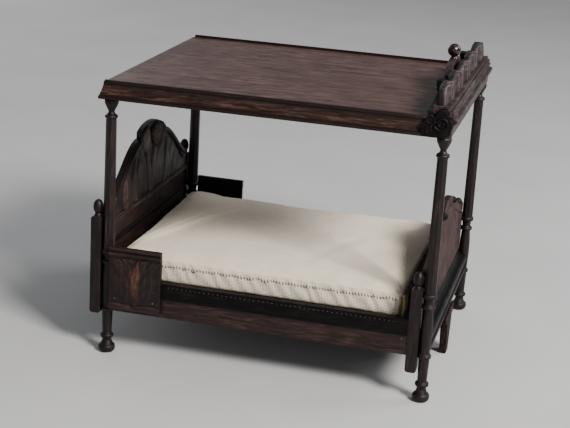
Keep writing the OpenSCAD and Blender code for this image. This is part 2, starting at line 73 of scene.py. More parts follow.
class Graph:
    """Adds and links the nodes of one material."""

    def __init__(self, name: str) -> None:
        """Start a material with an empty principled shader.

        Args:
            name: Name of the new material.
        """
        self.material = bpy.data.materials.new(name)
        self.material.use_nodes = True
        self.tree = self.material.node_tree
        self.tree.nodes.clear()
        output = self.add("ShaderNodeOutputMaterial")
        self.shader = self.add("ShaderNodeBsdfPrincipled")
        self.link(self.shader.outputs["BSDF"], output.inputs["Surface"])

    def add(self, kind: str, **settings: object) -> bpy.types.Node:
        """Add one node and set its properties.

        Args:
            kind: Blender's name of the node type.
            **settings: Properties to set on it.

        Returns:
            The new node.
        """
        node = self.tree.nodes.new(kind)
        for key, value in settings.items():
            setattr(node, key, value)
        return node

    def link(self, source: Socket, target: Socket) -> None:
        """Join an output to an input."""
        self.tree.links.new(source, target)

    def feed(self, socket: Socket, value: object) -> None:
        """Link a socket or set its value, whichever the value calls for.

        Args:
            socket: Input to feed.
            value: Another node's output, or a plain value.
        """
        if isinstance(value, Socket):
            self.link(value, socket)
        elif isinstance(value, tuple) and len(value) == 3 and socket.type == "RGBA":
            socket.default_value = (*value, 1.0)
        else:
            socket.default_value = value

    def set_shader(self, **values: object) -> None:
        """Feed the shader's inputs, named in lower case with underscores."""
        for key, value in values.items():
            self.feed(self.shader.inputs[SHADER_INPUTS[key]], value)

    def object_space(self, scale: Sequence[float]) -> Socket:
        """Object coordinates in metres, scaled along each axis.

        Args:
            scale: Features per metre along X, Y and Z.

        Returns:
            The scaled vector.
        """
        source = self.add("ShaderNodeTexCoord").outputs["Object"]
        return self.scaled(source, scale)

    def height(self) -> Socket:
        """Height above the floor, in metres."""
        parts = self.add("ShaderNodeSeparateXYZ")
        self.link(self.object_space([1.0] * 3), parts.inputs["Vector"])
        return parts.outputs["Z"]

    def scaled(self, source: Socket, scale: Sequence[float]) -> Socket:
        """A vector through a Mapping node that scales it."""
        mapping = self.add("ShaderNodeMapping")
        self.link(source, mapping.inputs["Vector"])
        mapping.inputs["Scale"].default_value = tuple(scale)
        return mapping.outputs["Vector"]

    def noise(
        self, vector: Socket, detail: float = 3.0, rough: float = 0.55, warp: float = 0.0
    ) -> Socket:
        """Noise of unit scale on a vector that is already scaled.

        Args:
            vector: Where the noise is read.
            detail: Octaves.
            rough: Weight of the finer octaves.
            warp: How far it is distorted.

        Returns:
            The noise's value.
        """
        node = self.add("ShaderNodeTexNoise")
        self.link(vector, node.inputs["Vector"])
        for key, value in {"Scale": 1.0, "Detail": detail, "Roughness": rough, "Distortion": warp}.items():
            node.inputs[key].default_value = value
        return node.outputs["Fac"]

    def ramp(self, factor: Socket, stops: Iterable[tuple[float, Colour]]) -> Socket:
        """A colour ramp.

        Args:
            factor: Where on the ramp to read.
            stops: Positions and their colours, from low to high.

        Returns:
            The ramp's colour.
        """
        node = self.add("ShaderNodeValToRGB")
        self.link(factor, node.inputs["Fac"])
        elements = node.color_ramp.elements
        for index, (position, colour) in enumerate(stops):
            stop = elements[index] if index < 2 else elements.new(position)
            stop.position = position
            stop.color = (*colour, 1.0)
        return node.outputs["Color"]

    def span(self, factor: Socket, low: float, high: float, out: tuple[float, float] = (0.0, 1.0)) -> Socket:
        """A value stretched from low..high to the out range, and clamped."""
        node = self.add("ShaderNodeMapRange")
        self.link(factor, node.inputs["Value"])
        for key, value in zip(("From Min", "From Max", "To Min", "To Max"), (low, high, *out)):
            node.inputs[key].default_value = value
        return node.outputs["Result"]

    def mix(self, factor: object, first: object, second: object, blend: str = "MIX") -> Socket:
        """Two colours mixed.

        Args:
            factor: Share of the second colour.
            first: Colour or output below.
            second: Colour or output above.
            blend: Blend type.

        Returns:
            The mixed colour.
        """
        node = self.add("ShaderNodeMix", data_type="RGBA", blend_type=blend)
        self.feed(node.inputs[0], factor)
        self.feed(node.inputs[6], first)
        self.feed(node.inputs[7], second)
        return node.outputs[2]

    def math(self, operation: str, first: object, second: object = 0.0, clamp: bool = False) -> Socket:
        """One Math node."""
        node = self.add("ShaderNodeMath", operation=operation, use_clamp=clamp)
        self.feed(node.inputs[0], first)
        self.feed(node.inputs[1], second)
        return node.outputs[0]

    def attribute(self, name: str) -> Socket:
        """A value that the mesh carries, read as a number."""
        return self.add("ShaderNodeAttribute", attribute_name=name).outputs["Fac"]

    def soft_edge(self, radius: float) -> tuple[Socket, Socket]:
        """A rounded normal, and a mask that is 1 on edges.

        Args:
            radius: Radius of the rounding in metres.

        Returns:
            The normal and the mask.
        """
        bevel = self.add("ShaderNodeBevel", samples=4)
        bevel.inputs["Radius"].default_value = radius
        true_normal = self.add("ShaderNodeNewGeometry").outputs["True Normal"]
        dot = self.add("ShaderNodeVectorMath", operation="DOT_PRODUCT")
        self.link(bevel.outputs["Normal"], dot.inputs[0])
        self.link(true_normal, dot.inputs[1])
        mask = self.span(dot.outputs["Value"], 0.995, 0.86)
        return bevel.outputs["Normal"], mask

    def bump(self, height: object, depth: float, normal: Socket | None = None) -> Socket:
        """A bump from a height between 0 and 1.

        Args:
            height: The height.
            depth: What a height of 1 is, in metres.
            normal: Normal to start from.

        Returns:
            The bumped normal.
        """
        node = self.add("ShaderNodeBump")
        node.inputs["Strength"].default_value = 1.0
        node.inputs["Distance"].default_value = depth
        self.feed(node.inputs["Height"], height)
        if normal is not None:
            self.link(normal, node.inputs["Normal"])
        return node.outputs["Normal"]


SHADER_INPUTS = {
    "colour": "Base Color",
    "roughness": "Roughness",
    "metallic": "Metallic",
    "normal": "Normal",
    "coat": "Coat Weight",
    "coat_roughness": "Coat Roughness",
    "sheen": "Sheen Weight",
    "sheen_roughness": "Sheen Roughness",
    "specular": "Specular IOR Level",
}


@dataclass(frozen=True)
class Wood:
    """Stained and waxed wood with fibres, figure, stain clouds, painted shade in hollows and rubbed edges.

    Attributes:
        name: Name of the material.
        slot: The record's material slot; it is not used.
        deep: Colour of pores, and of the painted shade in hollows.
        body: Main colour.
        rubbed: Colour where hands have rubbed the stain away.
        fibre: Width of a fibre, in metres.
        figure: Width of a band of figure, in metres.
        rough: Mean roughness.
        coat: Weight of the wax layer.
        specular: Strength of the reflection at right angles.
        rub: How much shows rubbed, from 0 to 1.
        blotch: How dark the stain's clouds are.
        pores: How dark the pores between the fibres are.
        relief: Depth of the fibres, in metres.
        saw: Depth of saw marks across the grain, in metres.
        carved: Whether the mesh carries a "carving" height to colour by, with painted shade in its low parts.
        band: Lowest and highest point of the part that stays light; the wood beyond it is dark.
    """

    name: str
    slot: str
    deep: Colour
    body: Colour
    rubbed: Colour
    fibre: float = 0.22 * MM
    figure: float = 1.7 * MM
    rough: float = 0.46
    coat: float = 0.0
    specular: float = 0.26
    rub: float = 0.4
    blotch: float = 0.55
    pores: float = 0.5
    relief: float = 0.05 * MM
    saw: float = 0.0
    carved: bool = False
    band: tuple[float, float] | None = None

    def scale(self, grain: Grain, width: float, stretch: float) -> list[float]:
        """Features per metre on each axis, stretched along the grain.

        Args:
            grain: Axis of the fibres.
            width: Width of a feature, in metres.
            stretch: How many times longer than wide it is.

        Returns:
            Three scales.
        """
        scales = [1.0 / width] * 3
        scales[grain.value] /= stretch
        return scales

    def build(self, grain: Grain) -> bpy.types.Material:
        """Make the material for one direction of grain.

        Args:
            grain: Axis of the fibres.

        Returns:
            The material, made once for each direction.
        """
        name = f"{self.name}_{grain.name.lower()}"
        if name in bpy.data.materials:
            return bpy.data.materials[name]
        g = Graph(name)
        fibres = g.noise(g.object_space(self.scale(grain, self.fibre, 22.0)), 4.0, 0.6)
        figure = g.noise(g.object_space(self.scale(grain, self.figure, 9.0)), 3.0, 0.5, 1.4)
        clouds = g.noise(g.object_space([55.0] * 3), 4.0, 0.6, 0.6)
        colour = g.ramp(figure, [(0.30, self.deep), (0.52, self.body), (0.74, self.rubbed)])
        streaks = g.noise(g.object_space(self.scale(grain, 0.7 * MM, 40.0)), 3.0, 0.55, 0.5)
        colour = g.mix(g.span(streaks, 0.50, 0.68, (0.0, self.pores * 0.8)), colour, self.deep)
        colour = g.mix(g.span(fibres, 0.38, 0.62, (self.pores, 0.0)), colour, self.deep)
        colour = g.mix(g.span(clouds, 0.35, 0.62, (self.blotch, 0.0)), colour, self.deep)
        normal, edges = g.soft_edge(0.28 * MM)
        # Painted shade: hollows that ambient occlusion finds darken towards the deep colour.
        hollows = g.add("ShaderNodeAmbientOcclusion", samples=4)
        hollows.inputs["Distance"].default_value = 2.2 * MM
        shade = g.span(hollows.outputs["AO"], 0.35, 0.95, (0.8, 0.0))
        colour = g.mix(shade, colour, self.deep)
        mark_mask = g.math("MULTIPLY", edges, g.span(clouds, 0.35, 0.6, (0.25, 1.0)))
        colour = g.mix(g.math("MULTIPLY", mark_mask, self.rub), colour, self.rubbed)
        if self.carved:
            height = g.attribute("carving")
            patches = g.noise(g.object_space([170.0] * 3), 3.0, 0.6, 0.8)
            shown = g.math("MULTIPLY", g.span(height, 0.5, 1.0), g.span(patches, 0.38, 0.62, (0.1, 1.0)))
            # Painted shade: the carving's low parts darken towards the deep colour.
            colour = g.mix(g.span(height, 0.5, 0.08, (0.0, 0.85)), colour, self.deep)
            colour = g.mix(g.math("MULTIPLY", shown, self.rub), colour, self.rubbed)
        if self.band:
            low, high = self.band
            under = g.span(g.height(), low + 0.5 * MM, low, (0.0, 0.85))
            over = g.span(g.height(), high, high + 0.4 * MM, (0.0, 0.85))
            colour = g.mix(g.math("ADD", under, over, True), colour, self.deep)
        normal = g.bump(fibres, self.relief, normal)
        if self.saw:
            marks = g.noise(g.object_space(self.scale(grain, 0.9 * MM, 0.12)), 2.0, 0.4)
            cracks = g.noise(g.object_space(self.scale(grain, 0.55 * MM, 26.0)), 2.0, 0.5, 0.3)
            normal = g.bump(marks, self.saw, normal)
            normal = g.bump(g.span(cracks, 0.64, 0.70, (1.0, 0.0)), 0.12 * MM, normal)
            colour = g.mix(g.span(marks, 0.45, 0.7, (0.0, 0.3)), colour, self.deep)
            colour = g.mix(g.span(cracks, 0.63, 0.69, (0.0, 0.75)), colour, self.deep)
        gloss = g.span(clouds, 0.3, 0.7, (self.rough + 0.1, self.rough - 0.06))
        g.set_shader(colour=colour, roughness=gloss, normal=normal, specular=self.specular)
        g.set_shader(coat=self.coat, coat_roughness=0.2)
        return g.material


@dataclass(frozen=True)
class Canvas:
    """Ecru canvas of two thread directions, with flecks, soft soiling and painted shade in the side puckers;
    it reads a UV map in metres.
    """

    name: str = "ecru_canvas"
    slot: str = "canvas"
    pale: Colour = (0.92, 0.81, 0.665)
    shaded: Colour = (0.62, 0.53, 0.41)
    # Colour of the flecks and the soiling, also used for the painted shade in the side puckers.
    soil_and_shade_tone: Colour = (0.34, 0.27, 0.20)
    pitch: float = 0.85 * MM

    def build(self) -> bpy.types.Material:
        """Make the material once."""
        if self.name in bpy.data.materials:
            return bpy.data.materials[self.name]
        g = Graph(self.name)
        flat = g.add("ShaderNodeUVMap", uv_map="weave").outputs["UV"]
        settings = {"Scale": WAVE_PERIOD / self.pitch, "Distortion": 0.8, "Detail": 1.0, "Detail Scale": 0.6}
        threads = []
        for direction in ("X", "Y"):
            wave = g.add("ShaderNodeTexWave", wave_type="BANDS", bands_direction=direction)
            g.link(flat, wave.inputs["Vector"])
            for key, value in settings.items():
                wave.inputs[key].default_value = value
            threads.append(wave.outputs["Fac"])
        weave = g.math("MULTIPLY", threads[0], threads[1])
        slubs = g.noise(g.scaled(flat, (160.0, 1300.0, 1.0)), 3.0, 0.6)
        cross = g.noise(g.scaled(flat, (1300.0, 160.0, 1.0)), 3.0, 0.6)
        clouds = g.noise(g.object_space([34.0] * 3), 4.0, 0.62, 0.4)
        grit = g.noise(g.object_space([700.0] * 3), 3.0, 0.65)
        flecks = g.noise(g.object_space([420.0] * 3), 2.0, 0.5)
        colour = g.mix(g.span(weave, 0.0, 0.6, (0.62, 0.0)), self.pale, self.shaded)
        colour = g.mix(g.span(slubs, 0.50, 0.70, (0.0, 0.4)), colour, self.shaded)
        colour = g.mix(g.span(cross, 0.52, 0.72, (0.0, 0.3)), colour, self.shaded)
        colour = g.mix(g.span(grit, 0.52, 0.70, (0.0, 0.4)), colour, self.shaded)
        colour = g.mix(g.span(clouds, 0.5, 0.78, (0.0, 0.45)), colour, self.shaded)
        colour = g.mix(g.span(flecks, 0.70, 0.76, (0.0, 0.5)), colour, self.soil_and_shade_tone)
        # The mesh's darkening value: soiling along the sides and ends, a darker band along the top seam, and
        # painted shade in the hollows of the side puckers.
        mark_mask = g.math("MULTIPLY", g.attribute("soil"), g.span(grit, 0.35, 0.6, (0.25, 1.0)))
        colour = g.mix(mark_mask, colour, self.soil_and_shade_tone)
        normal = g.bump(weave, 0.2 * MM)
        normal = g.bump(grit, 0.22 * MM, normal)
        g.set_shader(colour=colour, roughness=0.95, normal=normal, specular=0.12)
        g.set_shader(sheen=0.2, sheen_roughness=0.5)
        return g.material


@dataclass(frozen=True)
class Thread:
    """Cotton thread, binding or frayed fibre in one tone with uneven dye."""

    name: str
    tone: Colour
    dark: Colour
    slot: str = "canvas"

    def build(self) -> bpy.types.Material:
        """Make the material once."""
        if self.name in bpy.data.materials:
            return bpy.data.materials[self.name]
        g = Graph(self.name)
        dye = g.noise(g.object_space([700.0] * 3), 3.0, 0.6)
        twist = g.noise(g.object_space([2600.0, 2600.0, 5200.0]), 2.0)
        colour = g.mix(g.span(dye, 0.4, 0.65), self.tone, self.dark)
        g.set_shader(colour=colour, roughness=0.85, normal=g.bump(twist, 0.08 * MM), sheen=0.2)
        return g.material


@dataclass(frozen=True)
class Steel:
    """Small dulled steel and brass heads, spotted with tarnish."""

    name: str = "dull_steel"
    slot: str = "steel"
    bright: Colour = (0.50, 0.46, 0.40)
    spotted: Colour = (0.16, 0.11, 0.08)
    metal: float = 0.8

    def build(self) -> bpy.types.Material:
        """Make the material once."""
        if self.name in bpy.data.materials:
            return bpy.data.materials[self.name]
        g = Graph(self.name)
        spots = g.noise(g.object_space([1900.0] * 3), 3.0, 0.6)
        colour = g.mix(g.span(spots, 0.45, 0.7), self.bright, self.spotted)
        g.set_shader(colour=colour, roughness=g.span(spots, 0.3, 0.7, (0.3, 0.6)), metallic=self.metal)
        return g.material


OAK_DARK = Wood(
    "dark_stain", "dark_wood", (0.003, 0.002, 0.002), (0.009, 0.0042, 0.0042), (0.042, 0.021, 0.018),
)
OAK_CARVED = Wood(
    "carved_stain", "dark_wood", (0.003, 0.002, 0.0025), (0.028, 0.0135, 0.0115), (0.105, 0.064, 0.056),
    rub=0.8, carved=True,
)
OAK_RED = Wood("red_stain", "red_wood", (0.006, 0.003, 0.003), (0.028, 0.0125, 0.011), (0.075, 0.040, 0.035))
OAK_MOULDED = Wood(
    "moulding_stain", "red_wood", (0.007, 0.0035, 0.003), (0.036, 0.0155, 0.0115), (0.135, 0.075, 0.058),
    rub=0.7, rough=0.38, specular=0.2,
)
OAK_FOOT = Wood(
    "foot_moulding_stain", "red_wood", (0.012, 0.008, 0.008), (0.050, 0.031, 0.032), (0.150, 0.112, 0.112),
    rub=0.7, rough=0.4, specular=0.12,
)
OAK_CREST = Wood(
    "crest_stain", "dark_wood", (0.004, 0.003, 0.003), (0.030, 0.020, 0.021), (0.115, 0.088, 0.090), rub=0.6,
    specular=0.15, blotch=0.35, carved=True,
)
# The rail's strongly rubbed edges are partly wear and partly a painted highlight along the rail.
OAK_RAIL = Wood(
    "rail_stain", "red_wood", (0.006, 0.003, 0.003), (0.040, 0.019, 0.017), (0.150, 0.092, 0.082), rub=0.8,
)
OAK_TOP = Wood(
    "tester_stain", "red_wood", (0.020, 0.010, 0.010), (0.112, 0.060, 0.050), (0.170, 0.104, 0.088),
    fibre=0.32 * MM, figure=2.6 * MM, rough=0.42, blotch=0.3, pores=0.6, saw=0.06 * MM, relief=0.09 * MM,
)
OAK_WING = Wood(
    "wing_stain", "red_wood", (0.004, 0.0025, 0.0025), (0.019, 0.0085, 0.0075), (0.105, 0.040, 0.021),
    rub=0.85, carved=True,
)
OAK_ARCH = Wood(
    "arch_stain", "red_wood", (0.006, 0.004, 0.004), (0.042, 0.023, 0.023), (0.090, 0.058, 0.056), rub=0.5,
    rough=0.6, specular=0.05, blotch=0.4, carved=True,
)
OAK_ARCH_PLAIN = Wood(
    "arch_stain_plain", "red_wood", (0.006, 0.004, 0.004), (0.036, 0.020, 0.020), (0.095, 0.062, 0.059),
    rub=0.6, rough=0.6, specular=0.05,
)
BLACK = Wood(
    "black_stain", "black_wood", (0.002, 0.0018, 0.0018), (0.0045, 0.0036, 0.0036), (0.017, 0.0135, 0.0135),
    rub=0.4, specular=0.09,
)
POLISHED = Wood(
    "polished_ball", "dark_wood", (0.006, 0.002, 0.002), (0.022, 0.005, 0.004), (0.045, 0.012, 0.009),
    rough=0.16, coat=0.4, specular=0.35, relief=0.004 * MM, rub=0.1,
)
CANVAS = Canvas()
SEAM_THREAD = Thread("seam_thread", (0.115, 0.066, 0.036), (0.05, 0.028, 0.016))
FRAY = Thread("frayed_thread", (0.62, 0.52, 0.38), (0.36, 0.27, 0.18))
MUSTARD = Thread("mustard_binding", (0.26, 0.22, 0.075), (0.13, 0.10, 0.045))
RUST = Thread("rust_binding", (0.12, 0.060, 0.030), (0.06, 0.032, 0.02))
STEEL = Steel("steel_nail", "steel", (0.10, 0.085, 0.08), (0.03, 0.022, 0.02), 0.5)
PALE_PIN = Steel("pale_pin", "steel", (0.16, 0.13, 0.12), (0.05, 0.04, 0.035), 0.5)


def paint(nodes: Iterable[str], material: bpy.types.Material) -> None:
    """Give CAD nodes one material in place of their own.

    Args:
        nodes: Names of the nodes.
        material: The material.
    """
    for name in nodes:
        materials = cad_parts[name].data.materials
        materials.clear()
        materials.append(material)
        log.info("%s dressed in %s", name, material.name)


def dress(nodes: Iterable[str], wood: Wood, grain: Grain) -> None:
    """Give CAD nodes a wood finish.

    Args:
        nodes: Names of the nodes.
        wood: The finish.
        grain: Which way their fibres run.
    """
    paint(nodes, wood.build(grain))


def add_object(name: str, data: bpy.types.ID) -> bpy.types.Object:
    """Make an object and put it in the scene.

    Args:
        name: Name of the object.
        data: Its mesh, light or camera.

    Returns:
        The new object.
    """
    made = bpy.data.objects.new(name, data)
    bpy.context.scene.collection.objects.link(made)
    return made


def place(bm: BMesh, name: str, material: bpy.types.Material, body: str = BEDSTEAD,
          smooth: bool = True) -> bpy.types.Object:
    """Turn a bmesh into a piece that rides on a body.

    Args:
        bm: The mesh, in the frame, which is freed.
        name: Name of the piece.
        material: Its finish.
        body: CAD body it rides on.
        smooth: Whether its faces are shaded smooth.

    Returns:
        The new object.
    """
    mesh = bpy.data.meshes.new(name)
    bm.normal_update()
    for face in bm.faces:
        face.smooth = smooth
    bm.to_mesh(mesh)
    bm.free()
    mesh.materials.append(material)
    piece = add_object(name, mesh)
    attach(piece, body)
    log.info("%s: %d faces on %s", name, len(mesh.polygons), body)
    return piece


def ease(t: np.ndarray | float) -> np.ndarray | float:
    """Smooth step from 0 at 0 to 1 at 1."""
    t = np.clip(t, 0.0, 1.0)
    return t * t * (3.0 - 2.0 * t)


@dataclass(frozen=True)
class Leaf:
    """One carved leaf on a flat panel, along a bent spine, highest on its back with a groove for the vein.

    Attributes:
        base: Where it springs from, as (u, v) in metres.
        tip: Where it ends.
        bend: How far its middle swings to the left of the straight line, in metres.
        width: Its half width at the widest.
        rise: Its height, in metres.
    """

    base: tuple[float, float]
    tip: tuple[float, float]
    bend: float
    width: float
    rise: float

    def height(self, u: np.ndarray, v: np.ndarray) -> np.ndarray:
        """Height of the leaf over a grid of points.

        Args:
            u: First coordinates.
            v: Second coordinates.

        Returns:
            Heights in metres, 0 off the leaf.
        """
        base, tip = np.array(self.base), np.array(self.tip)
        along = tip - base
        across = np.array([-along[1], along[0]]) / max(np.hypot(*along), 1e-9)
        middle = (base + tip) / 2 + across * self.bend * 2
        best = np.full(u.shape, 1e9)
        where = np.zeros(u.shape)
        for t in np.linspace(0.0, 1.0, 25):
            point = (1 - t) ** 2 * base + 2 * t * (1 - t) * middle + t * t * tip
            away = np.hypot(u - point[0], v - point[1])
            nearer = away < best
            best = np.where(nearer, away, best)
            where = np.where(nearer, t, where)
        half = self.width * np.sin(np.pi * np.clip(where * 0.86 + 0.12, 0, 1)) + 1e-6
        share = np.clip(best / half, 0.0, 1.0)
        round_back = np.sqrt(np.clip(1.0 - share**2, 0.0, 1.0))
        vein = 0.35 * np.exp(-((share / 0.16) ** 2))
        lobes = 1.0 - 0.18 * (0.5 + 0.5 * np.cos(where * 34.0)) * share
        return self.rise * np.clip(round_back * lobes - vein, 0.0, 1.0)


@dataclass(frozen=True)
class Relief:
    """A carved skin on a flat face, from a grid whose points are lifted by a height.

    Attributes:
        name: Name of the piece.
        origin: A point of the face.
        across: Direction of u.
        up: Direction of v.
        out: Direction of the height.
        span: Lowest and highest u.
        lower: Lowest v at a given u.
        upper: Highest v at a given u.
        height: Height over u and v, in metres.
        cells: Cells along u and v.
        root: How far the skin's rim goes back into the face.
        warp: Where each point of the grid lies on the face, if not at u and v.
    """

    name: str
    origin: Vector
    across: Vector
    up: Vector
    out: Vector
    span: tuple[float, float]
    lower: Callable[[float], float]
    upper: Callable[[float], float]
    height: Callable[[np.ndarray, np.ndarray], np.ndarray]
    cells: tuple[int, int]
    root: float = 0.4 * MM
    warp: Callable[[float, float], tuple[float, float]] | None = None

    def build(self) -> BMesh:
        """Make the skin's mesh, with its height stored in "carving".

        Returns:
            The mesh, in the frame.
        """
        bm = bmesh.new()
        bmesh.ops.create_grid(bm, x_segments=self.cells[0], y_segments=self.cells[1], size=0.5)
        shares = np.array([(v.co.x + 0.5, v.co.y + 0.5) for v in bm.verts])
        u = self.span[0] + (self.span[1] - self.span[0]) * shares[:, 0]
        low = np.array([self.lower(value) for value in u])
        high = np.array([self.upper(value) for value in u])
        v = low + (high - low) * shares[:, 1]
        heights = self.height(u, v)
        layer = bm.verts.layers.float.new("carving")
        top = max(float(heights.max()), 1e-9)
        for vert, a, b, h in zip(bm.verts, u, v, heights):
            a, b = self.warp(a, b) if self.warp else (a, b)
            vert.co = self.origin + self.across * float(a) + self.up * float(b) + self.out * float(h)
            vert[layer] = float(h) / top
        if self.across.cross(self.up).dot(self.out) < 0:
            bmesh.ops.reverse_faces(bm, faces=bm.faces)
        rim = [edge for edge in bm.edges if edge.is_boundary]
        grown = bmesh.ops.extrude_edge_only(bm, edges=rim)["geom"]
        back = [item for item in grown if isinstance(item, bmesh.types.BMVert)]
        for vert in back:
            depth = (vert.co - self.origin).dot(self.out) + self.root
            vert.co -= self.out * depth
            vert[layer] = 0.0
        return bm


def top_edge(node: str) -> Callable[[float], float]:
    """The upper outline of an upright panel, as a function of Y, read from its CAD node.

    Args:
        node: Name of the panel's node.

    Returns:
        A function from Y to the highest Z there.
    """
    tops: dict[float, float] = {}
    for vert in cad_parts[node].data.vertices:
        y = round(vert.co.y, 6)
        tops[y] = max(tops.get(y, -1.0), vert.co.z)
    ys = np.array(sorted(tops))
    zs = np.array([tops[y] for y in ys])
    return lambda y: float(np.interp(y, ys, zs))


def tube(path: TubePath, sides: int = 6) -> BMesh:
    """A closed tube along a path, from rings joined by bridges.

    Args:
        path: Points with the tube's radius at each.
        sides: Sides of a ring.

    Returns:
        The mesh.
    """
    bm = bmesh.new()
    add_tube(bm, path, sides)
    return bm


def add_tube(bm: BMesh, path: TubePath, sides: int = 6) -> None:
    """Add a closed tube to a mesh.

    Args:
        bm: The mesh that grows.
        path: Points with the tube's radius at each.
        sides: Sides of a ring.
    """
    previous: list[bmesh.types.BMEdge] = []
    for index, (point, radius) in enumerate(path):
        ahead = path[min(index + 1, len(path) - 1)][0]
        behind = path[max(index - 1, 0)][0]
        turn = (ahead - behind).to_track_quat("Z", "X").to_matrix().to_4x4()
        ends = index in (0, len(path) - 1)
        made = bmesh.ops.create_circle(
            bm, cap_ends=ends, segments=sides, radius=max(radius, 1e-6),
            matrix=Matrix.Translation(point) @ turn,
        )
        ring = {edge for vert in made["verts"] for edge in vert.link_edges}
        if previous:
            bmesh.ops.bridge_loops(bm, edges=previous + list(ring))
        previous = list(ring)


class SubAssembly:
    """One group of pieces: its CAD nodes are dressed, and then its own pieces are built."""

    def dress(self) -> None:
        """Finish the group's CAD pieces."""

    def build(self) -> None:
        """Build the group's own pieces."""


@dataclass
class Posts(SubAssembly):
    """The four posts and the four knobbed stiles beside them."""

    ends: tuple[str, ...] = ("head", "foot")

    def dress(self) -> None:
        """Finish every post and stile."""
        names = [f"{end}_{kind}_{side}" for end in self.ends for kind in ("post", "stile") for side in SIDES]
        dress(names, OAK_DARK, Grain.HEIGHT)


@dataclass
class Headboard(SubAssembly):
    """The carved headboard between the head stiles."""

    margin: float = 0.6 * MM
    leaf_count: int = 9
    leaf_rise: float = 1.5 * MM
    roll: float = 1.5 * MM
    ribs: int = 6
    fan: float = math.radians(40)
    plume: float = 18.6 * MM
    roll_steps: int = 48
    curl: float = 2.4 * MM
    curl_steps: int = 24

    def dress(self) -> None:
        """Finish the headboard's CAD pieces."""
        dress(["headboard_panel"], OAK_DARK, Grain.HEIGHT)
        dress(["headboard_shell", "headboard_scroll_front", "headboard_scroll_rear"], OAK_DARK, Grain.HEIGHT)
        dress(["headboard_rail"], OAK_RAIL, Grain.WIDTH)
        dress(["headboard_lower_panel"], OAK_RED, Grain.WIDTH)
        dress(["headboard_lower_moulding"], BLACK, Grain.WIDTH)

    def foliage(self, y: np.ndarray, z: np.ndarray) -> np.ndarray:
        """Long leaves that sweep up and outwards over each other, with fine gouges between them.

        Args:
            y: Points across the bed.
            z: Points up it.

        Returns:
            Heights in metres.
        """
        low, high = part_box("headboard_panel")
        edge = top_edge("headboard_panel")
        room = np.array([edge(value) for value in y]) - z
        height = np.zeros(y.shape)
        for sign in (-1, 1):
            for index in range(self.leaf_count):
                share = index / (self.leaf_count - 1)
                start = sign * (1.5 + 52 * share) * MM
                tall = (34 - 22 * share + 4 * math.sin(index * 2.6 + sign)) * MM
                lean = sign * (9 + 5 * math.sin(index * 1.9)) * MM
                bend = sign * 3.4 * MM * math.sin(index * 1.4 + 0.6)
                fat = (4.6 + (index % 3) * 0.7) * MM
                base = (start, low.z - 5 * MM)
                leaf = Leaf(base, (start + lean, low.z + tall), bend, fat, self.leaf_rise)
                height = np.maximum(height, leaf.height(y, z) * (0.72 + 0.28 * math.cos(index * 2.1)))
        gouges = 0.30 * MM * (0.5 + 0.5 * np.cos(y * 1500 + 2.2 * np.sin(z * 330 + y * 160)))
        height = np.maximum(height, gouges)
        lobe = 1.0 - ((y + 9.5 * MM) / (8.0 * MM)) ** 2 - ((z - high.z + 9.5 * MM) / (8.5 * MM)) ** 2
        height = np.maximum(height, 1.9 * MM * np.sqrt(np.clip(lobe, 0.0, 1.0)))
        return height * ease((room + 0.5 * MM) / (2.5 * MM)) + 0.02 * MM

    def rib(self, turn: np.ndarray | float) -> np.ndarray | float:
        """1 on the back of one of the plume's ribs and 0 between two."""
        return np.abs(np.cos(turn / self.fan * math.pi * self.ribs / 2))

    def flutes(self, turn: np.ndarray, reach: np.ndarray) -> np.ndarray:
        """Height of the plume over angle and distance from its root."""
        ridge = self.rib(turn)
        tip = np.sqrt(np.clip(1.0 - ((reach / self.plume - 0.72) / 0.29) ** 2, 0.0, 1.0))
        tip = np.where(reach < 0.72 * self.plume, 1.0, tip)
        swell = (0.6 + 2.4 * reach / self.plume) * (0.35 + 0.65 * ridge**0.7)
        return (0.5 + swell) * MM * (0.25 + 0.75 * tip)

    def build(self) -> None:
        """Carve the panel's inner face, its plume and its rolled edge."""
        low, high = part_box("headboard_panel")
        edge = top_edge("headboard_panel")
        carved = OAK_CARVED.build(Grain.HEIGHT)
        skin = Relief(
            "headboard_carving", Vector((high.x, 0, 0)), Y_AXIS, Z_AXIS, X_AXIS,
            (low.y + self.margin, high.y - self.margin), lambda y: low.z + self.margin,
            lambda y: edge(y) - self.margin, self.foliage, (240, 96),
        )
        place(skin.build(), skin.name, carved)
        shell_low, shell_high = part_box("headboard_shell")
        root = ((shell_low.y + shell_high.y) / 2, shell_low.z + 0.4 * MM)
        plume = Relief(
            "headboard_plume", Vector((high.x, 0, 0)), Y_AXIS, Z_AXIS, X_AXIS,
            (-self.fan, self.fan), lambda turn: 0.6 * MM,
            lambda turn: self.plume * (0.94 + 0.06 * float(self.rib(turn))),
            self.flutes, (90, 40), 0.3 * MM,
            lambda turn, reach: (root[0] + reach * math.sin(turn), root[1] + reach * math.cos(turn)),
        )
        piece = place(plume.build(), plume.name, carved)
        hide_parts("headboard_shell")
        for side, sign in SIDES.items():
            self.build_roll(side, sign, edge, high.x)

    def build_roll(self, side: str, sign: float, edge: Callable[[float], float], face: float) -> None:
        """Roll the serpentine edge over into a round moulding that ends in a curl.

        Args:
            side: Name of the side.
            sign: Its direction in Y.
            edge: The panel's upper outline.
            face: X of the panel's inner face.
        """
        path = []
        for step in range(self.roll_steps + 1):
            share = step / self.roll_steps
            y = (20.0 + 39.0 * share) * MM
            point = Vector((face + 0.9 * MM, sign * y, edge(sign * y) - 1.7 * MM))
            path.append((point, self.roll * (0.9 + 0.2 * share)))
        y_end, z_end = path[-1][0].y, path[-1][0].z - self.curl
        for step in range(1, self.curl_steps + 1):
            share = step / self.curl_steps
            turn = math.radians(90 - 16 * step)
            reach = self.curl * (1 - 0.7 * share)
            y, z = y_end + sign * reach * math.cos(turn), z_end + reach * math.sin(turn)
            path.append((Vector((face + 1.2 * MM, y, z)), self.roll * (1.0 - 0.55 * share)))
        place(tube(path, 10), f"headboard_roll_{side}", OAK_DARK.build(Grain.WIDTH))


